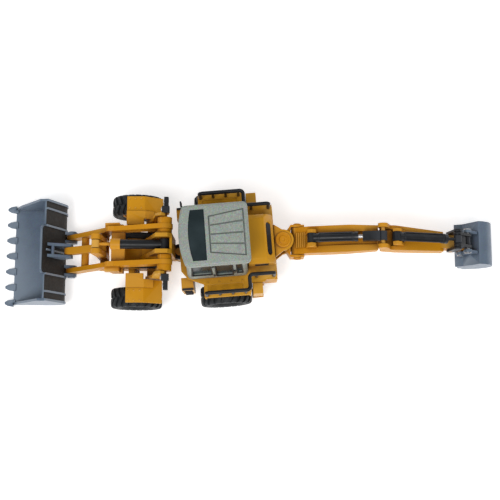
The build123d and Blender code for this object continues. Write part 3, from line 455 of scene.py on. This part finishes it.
LUGS = 20
LUG_LINE = [  # distance from the middle, crown radius, half width
    (0.25, 13.30, 0.95),
    (1.6, 13.42, 0.98),
    (3.1, 13.40, 1.05),
    (4.3, 13.18, 1.15),
    (4.95, 12.55, 1.25),
    (5.2, 11.40, 1.15),
]


def add_lug(bm, place, start, side):
    """One slanting tread lug, from the middle of the tread over the shoulder."""
    root_radius = 11.0
    slant = 11.0   # degrees from the middle of the tread to the shoulder
    draft = 1.35   # how much wider a lug is at its root
    previous = None
    for reach, crown, half in LUG_LINE:
        middle = start + math.radians(slant) * reach / LUG_LINE[-1][0]
        ring = []
        foot = half * draft
        section = ((root_radius, -foot), (crown, -half), (crown, half), (root_radius, foot))
        for radius, offset in section:
            angle = middle + offset / crown
            point = Vector((radius * math.cos(angle), side * reach, radius * math.sin(angle))) * MM
            ring.append(bm.verts.new(place @ point))
        if previous:
            for index in range(4):
                after = (index + 1) % 4
                bm.faces.new((previous[index], previous[after], ring[after], ring[index]))
        else:
            bm.faces.new(ring)
        previous = ring
    bm.faces.new(previous)


TYRE_PROFILE = [
    (-3.4, 8.0), (-4.3, 8.2), (-4.7, 8.7), (-4.75, 9.2), (-5.0, 9.5), (-5.15, 10.4), (-5.05, 11.3),
    (-4.6, 12.0), (-3.6, 12.35), (0, 12.5), (3.6, 12.35), (4.6, 12.0), (5.05, 11.3), (5.15, 10.4),
    (5.0, 9.5), (4.75, 9.2), (4.7, 8.7), (4.3, 8.2), (3.4, 8.0), (2.6, 7.9), (-2.6, 7.9),
]
RIM_PROFILE = [  # from the hub cap out over the dish and lip, and back inside
    (3.6, 0.02), (3.6, 1.3), (3.3, 1.7), (2.4, 1.8), (2.2, 2.1), (2.0, 4.0), (1.7, 4.4), (0.6, 5.2),
    (0.5, 5.9), (0.9, 6.5), (1.8, 6.9), (2.5, 7.1), (2.9, 7.4), (2.9, 7.85), (2.6, 8.05),
    (-3.9, 8.05), (-4.3, 7.9), (-4.2, 7.3), (-3.0, 6.9), (-2.4, 5.0), (-2.4, 0.02),
]
WHEEL_MIDDLE = 24.25
RIM_NUTS = 6


def add_nuts(bm, place):
    """Hexagonal nuts round the hub, each with its rounded stud end."""
    for index in range(RIM_NUTS):
        angle = 2 * math.pi * index / RIM_NUTS
        seat = Matrix.Translation(Vector((3.0 * math.cos(angle), 2.4, 3.0 * math.sin(angle))) * MM)
        upright = Matrix.Rotation(-math.pi / 2, 4, "X")
        for radius, tall, sides in ((0.62, 0.7, 6), (0.3, 1.2, 12)):
            bmesh.ops.create_cone(
                bm, cap_ends=True, segments=sides, radius1=radius * MM, radius2=radius * 0.86 * MM,
                depth=tall * MM, matrix=place @ seat @ upright,
            )


def add_wheels(axle):
    body = f"{axle}_wheels"
    middle = wheel_place(f"{axle}_wheels_spin")
    tyre = bmesh.new()
    rim = bmesh.new()
    nuts = bmesh.new()
    for side in (-1, 1):
        place = middle @ Matrix.Translation((0, side * WHEEL_MIDDLE * MM, 0))
        outward = place if side > 0 else place @ Matrix.Rotation(math.pi, 4, "X")
        add_lathe(tyre, TYRE_PROFILE, place)
        for index in range(LUGS):
            start = 2 * math.pi * index / LUGS
            add_lug(tyre, place, start, 1)
            add_lug(tyre, place, start + math.pi / LUGS, -1)
        add_lathe(rim, RIM_PROFILE, outward)
        add_nuts(nuts, outward)
    bmesh.ops.remove_doubles(rim, verts=rim.verts, dist=0.03 * MM)
    rubber = add_piece(f"{axle}_tread_tyres", to_mesh("tyres", tyre), body, "tyre_rubber")
    add_bevel(rubber, 0.16 * MM, 2, 40)
    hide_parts(f"{axle}_tyres")
    dish = add_piece(f"{axle}_dished_rims", to_mesh("rims", rim), body, "yellow_plastic")
    add_bevel(dish, 0.1 * MM, 2, 50)
    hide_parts(f"{axle}_rims")
    add_bevel(add_piece(f"{axle}_wheel_nuts", to_mesh("nuts", nuts), body, "pin_steel"), 0.06 * MM, 1, 40)


# ---------------------------------------------------------------- small fittings
waist = Vector(joints["waist_steer"]["pos_m"])
swing = Vector(joints["arm_swing"]["pos_m"])
rear_axis = Vector(joints["rear_wheels_spin"]["axis"])
waist_turn = Vector((0, 1, 0)).rotation_difference(rear_axis).to_matrix().to_4x4()
WAIST_POINT = Vector((-37, 0, 14)) * MM
SWING_POINT = Vector((17, 0, 25)) * MM
FRONT = Matrix.Translation(waist - WAIST_POINT)
REAR = Matrix.Translation(waist) @ waist_turn @ Matrix.Translation(-WAIST_POINT)
DIG = Matrix.Translation(swing - SWING_POINT)
SIDES = (-1, 1)

# pins as (x, z) in millimetres, in the axes of FRONT or DIG
ARM_PIVOT = (-42.5, 44.0)
BOOM_FOOT = (24.5, 26.0)
STICK_CYLINDER_BASE = (31.2, 38.0)
STICK_CYLINDER_EYE = (66.2, 44.6)
DIG_CYLINDER_BASE = (73.4, 42.6)
DIG_CYLINDER_EYE = (105.8, 33.6)
LINK_PIN = (112.2, 27.6)


class Fitting:
    """Mesh of one or more small parts on a body, drawn in millimetres in the axes of its group."""

    def __init__(self, place):
        self.place = place
        self.bm = bmesh.new()

    def prism(self, outline, low, high, upright=False):
        """Outline in X and Z carried along Y, or in X and Y carried up Z."""
        ends = []
        for level in (low, high):
            points = [(x, other, level) if upright else (x, level, other) for x, other in outline]
            ends.append([self.bm.verts.new(self.place @ (Vector(point) * MM)) for point in points])
        count = len(outline)
        self.bm.faces.new(ends[0])
        self.bm.faces.new(ends[1][::-1])
        for index in range(count):
            after = (index + 1) % count
            self.bm.faces.new((ends[0][index], ends[1][index], ends[1][after], ends[0][after]))

    def box(self, x, y, z):
        self.prism([(x[0], z[0]), (x[1], z[0]), (x[1], z[1]), (x[0], z[1])], y[0], y[1])

    def turned(self, centre, axis, profile, steps=48):
        """Turned part about an axis through centre, from a closed list of (along, radius)."""
        turn = Vector((0, 1, 0)).rotation_difference(Vector(axis)).to_matrix().to_4x4()
        add_lathe(self.bm, profile, self.place @ Matrix.Translation(Vector(centre) * MM) @ turn, steps)

    def rod(self, start, end, radius, steps=16):
        way = Vector(end) - Vector(start)
        profile = [(0, 0.02), (0, radius), (way.length, radius), (way.length, 0.02)]
        self.turned(start, way.normalized(), profile, steps)

    def dome(self, centre, axis, radius, height):
        """Round rivet head with its flat side at centre."""
        shoulder = (0.35 * height, 0.95 * radius)
        crown = (0.8 * height, 0.6 * radius)
        profile = [(-0.1, 0.02), (-0.1, radius), shoulder, crown, (height, 0.02)]
        self.turned(centre, axis, profile, 20)

    def finish(self, name, body, slot, bevel=0.1, look=None):
        piece = add_piece(name, to_mesh(name, self.bm), body, slot, look)
        add_bevel(piece, bevel * MM, 2, 40)


def add_pin_heads(name, body, place, heads, slot="yellow_arm"):
    """Round pin heads, each with a screwdriver slot; heads lists (x, z), y of the face and radius."""
    head = Fitting(place)
    groove = Fitting(place)
    for (x, z), face, radius in heads:
        for side in SIDES:
            profile = [(-0.2, 0.02), (-0.2, radius), (0.25, radius), (0.45, 0.82 * radius), (0.45, 0.02)]
            head.turned((x, side * face, z), (0, side, 0), profile, 32)
            lean = 0.5 if side > 0 else -0.8
            reach = 0.72 * radius
            along = Vector((math.cos(lean), 0, math.sin(lean))) * reach
            across = Vector((-math.sin(lean), 0, math.cos(lean))) * 0.17
            middle = Vector((x, 0, z))
            corners = [
                middle + along + across, middle - along + across,
                middle - along - across, middle + along - across,
            ]
            levels = sorted((side * (face + 0.47), side * (face + 0.3)))
            groove.prism([(point.x, point.z) for point in corners], *levels)
    head.finish(name, body, slot, 0.08)
    groove.finish(name + "_slots", body, "black_plastic", 0.02, MATT_BLACK)


def add_swing_cap():
    """Ringed cap on the upright pin of the swing bracket."""
    cap = Fitting(DIG)
    profile = [
        (-0.1, 0.02), (-0.1, 3.95), (0.2, 3.9), (0.35, 3.7), (0.35, 3.1), (0.05, 2.9), (0.05, 2.1),
        (0.4, 1.9), (0.4, 1.0), (0.15, 0.8), (0.15, 0.02),
    ]
    cap.turned((17, 0, 33.1), (0, 0, 1), profile, 64)
    cap.finish("swing_cap", "rear_body", "yellow_arm", 0.1)


def add_sleeves():
    """Painted end of the tilt barrel and the bright part of the stick rod."""
    sleeve = Fitting(FRONT)
    along = Vector((-34.0, 0, 1.5)).normalized()
    profile = [(21.8, 2.3), (21.8, 2.75), (26.7, 2.75), (26.7, 2.3)]
    sleeve.turned((ARM_PIVOT[0], 0, ARM_PIVOT[1]), along, profile, 40)
    sleeve.finish("tilt_barrel_sleeve", "tilt_barrel", "yellow_arm", 0.15)
    bright = Fitting(DIG)
    along = Vector((-35.0, 0, -6.6)).normalized()
    profile = [(10.0, 0.5), (10.0, 0.86), (20.2, 0.86), (20.2, 0.5)]
    bright.turned((STICK_CYLINDER_EYE[0], 0, STICK_CYLINDER_EYE[1]), along, profile, 24)
    bright.finish("stick_rod_chrome", "stick_rod", "pin_steel", 0.03)


def add_bucket_sleeve():
    """Black sleeve round the middle of the pin that joins the link to the digging bucket."""
    sleeve = Fitting(DIG)
    profile = [(-2.1, 0.95), (-2.1, 1.4), (2.1, 1.4), (2.1, 0.95)]
    sleeve.turned((LINK_PIN[0], 0, LINK_PIN[1]), (0, 1, 0), profile, 28)
    sleeve.finish("bucket_pin_sleeve", "dig_bucket", "black_plastic", 0.08)


def add_mirror():
    """Small mirror on a bent arm at the front corner of the cab."""
    mirror = Fitting(REAR)
    mirror.rod((-30.6, 14.2, 54.0), (-32.2, 17.0, 55.0), 0.35)
    mirror.rod((-32.2, 17.0, 55.0), (-32.2, 17.0, 57.0), 0.35)
    mirror.prism([(-32.7, 53.2), (-31.9, 53.2), (-31.9, 58.2), (-32.7, 58.2)], 16.2, 18.6)
    mirror.finish("cab_mirror", "rear_body", "black_plastic", 0.25)


def add_barrel_bands():
    """Two clamping bands round the barrels of the stick and bucket rams, and two thin pipes along each."""
    for name, place, base, eye, radius, length in (
        ("stick_barrel", DIG, STICK_CYLINDER_BASE, STICK_CYLINDER_EYE, 2.2, 23.3),
        ("dig_barrel", DIG, DIG_CYLINDER_BASE, DIG_CYLINDER_EYE, 2.2, 27.4),
    ):
        band = Fitting(place)
        along = Vector((eye[0] - base[0], 0, eye[1] - base[1])).normalized()
        for start, end, grow in ((3.4, 4.2, 0.25), (length - 3.0, length - 2.4, 0.25)):
            inner = radius - 0.1
            outer = radius + grow
            profile = [(start, inner), (start, outer), (end, outer), (end, inner)]
            band.turned((base[0], 0, base[1]), along, profile, 32)
        reach = length - 2.6
        upper = Vector((-along.z, 0, along.x))
        for side in SIDES:
            offset = upper * (radius * 0.62) + Vector((0, side * radius * 0.92, 0))
            foot = Vector((base[0], 0, base[1])) + offset
            band.rod(foot + along * 4.0, foot + along * reach, 0.34, 12)
        band.finish(name + "_bands", name, "black_plastic", 0.08)


def cab_side(z):
    """Half width of the cab at a height."""
    return 16.5 - 2.5 * (z - 31) / 31


SIDE_WINDOWS = [
    [(-30.2, 38.5), (-20.0, 38.5), (-20.0, 59.5), (-28.9, 59.5)],
    [(-18.0, 35.0), (-9.5, 35.0), (-9.5, 59.5), (-18.0, 59.5)],
    [(-7.6, 38.5), (-4.6, 38.5), (-5.2, 59.5), (-7.6, 59.5)],
]


def add_cab_fittings():
    """Window seals, door handles and hinges, and the wiper of the cab."""
    handle_x = -8.7
    hinge_x = -19.0
    seals = Fitting(REAR)
    handles = Fitting(REAR)
    for side in SIDES:
        for window in SIDE_WINDOWS:
            for index, (x, z) in enumerate(window):
                next_x, next_z = window[(index + 1) % 4]
                start = (x, side * (cab_side(z) - 0.15), z)
                end = (next_x, side * (cab_side(next_z) - 0.15), next_z)
                seals.rod(start, end, 0.38, 10)
        handle_y = cab_side(44)
        low_end = (handle_x, side * (handle_y + 0.7), 42)
        high_end = (handle_x, side * (handle_y + 0.5), 46)
        handles.rod(low_end, high_end, 0.35)
        for z in (42, 46):
            inner = (handle_x, side * (handle_y - 0.6), z)
            outer = (handle_x, side * (handle_y + 0.7), z)
            handles.rod(inner, outer, 0.35)
        for z in (37.5, 57.0):
            hinge_y = side * (cab_side(z) + 0.15)
            handles.rod((hinge_x, hinge_y, z - 1.2), (hinge_x, hinge_y, z + 1.2), 0.5)
    seals.finish("window_seals", "rear_body", "black_plastic", 0.08, MATT_BLACK)
    handles.finish("door_fittings", "rear_body", "black_plastic", 0.08)
    wiper = Fitting(REAR)
    wiper.rod((-32.0, 3.0, 59.4), (-32.9, -3.0, 46), 0.3)
    wiper.rod((-33.2, -4.2, 39.5), (-32.3, -1.8, 53.0), 0.42)
    wiper.finish("wiper", "rear_body", "black_plastic", 0.06)


def add_lamps():
    """Two lenses on each headlamp arm."""
    lenses = Fitting(FRONT)
    for side in SIDES:
        for y, z, radius in ((16.9, 47.6, 1.15), (20.9, 47.3, 1.25)):
            profile = [(-0.2, 0.02), (-0.2, radius), (0.2, radius), (0.5, 0.7 * radius), (0.62, 0.02)]
            lenses.turned((-43.6 if y < 18 else -42.6, side * y, z), (-1, 0, 0), profile, 32)
    lenses.finish("headlamp_lenses", "front_frame", "dark_glass", 0.05, CLEAR_LENS)


def add_rivets():
    """Rivets of the deck and of the front mudguards."""
    rear = Fitting(REAR)
    front = Fitting(FRONT)
    for side in SIDES:
        for x in (-23.0, -17.0, -11.0, -5.0):
            rear.dome((x, side * 18.8, 31.0), (0, 0, 1), 0.45, 0.3)
        for x in (-62.2, -59.2, -56.2):
            front.dome((x, side * 21.4, 29.4), (0, 0, 1), 0.5, 0.3)
            front.dome((x, side * 26.4, 29.4), (0, 0, 1), 0.5, 0.3)
    rear.finish("deck_rivets", "rear_body", "yellow_body", 0.03)
    front.finish("mudguard_rivets", "front_frame", "yellow_body", 0.03)


def add_hood_vents():
    """Louvres in the sides of the engine hood, with their dark openings."""
    vents = Fitting(REAR)
    for side in SIDES:
        for row in range(5):
            z = 33.4 + 1.3 * row
            vents.box((1.6, 8.6), sorted((side * 12.2, side * 12.62)), (z, z + 0.55))
    vents.finish("hood_vents", "rear_body", "black_plastic", 0.1, MATT_BLACK)


add_camera()
add_studio()
add_floor()
for node in nodes:
    if node in CAST_EDGES:
        round_off(node, CAST_EDGES[node] * MM)
    else:
        paint_node(node, MATT_BLACK if node == "bucket_back_panel" else None)
for axle in ("front", "rear"):
    add_wheels(axle)
add_swing_cap()
add_sleeves()
add_bucket_sleeve()
add_mirror()
add_barrel_bands()
add_cab_fittings()
add_lamps()
add_rivets()
add_hood_vents()
add_pin_heads("swing_post_heads", "swing_post", DIG, [(BOOM_FOOT, 8.9, 2.0)])
add_pin_heads("arm_pivot_heads", "front_frame", FRONT, [(ARM_PIVOT, 15.8, 2.2)])
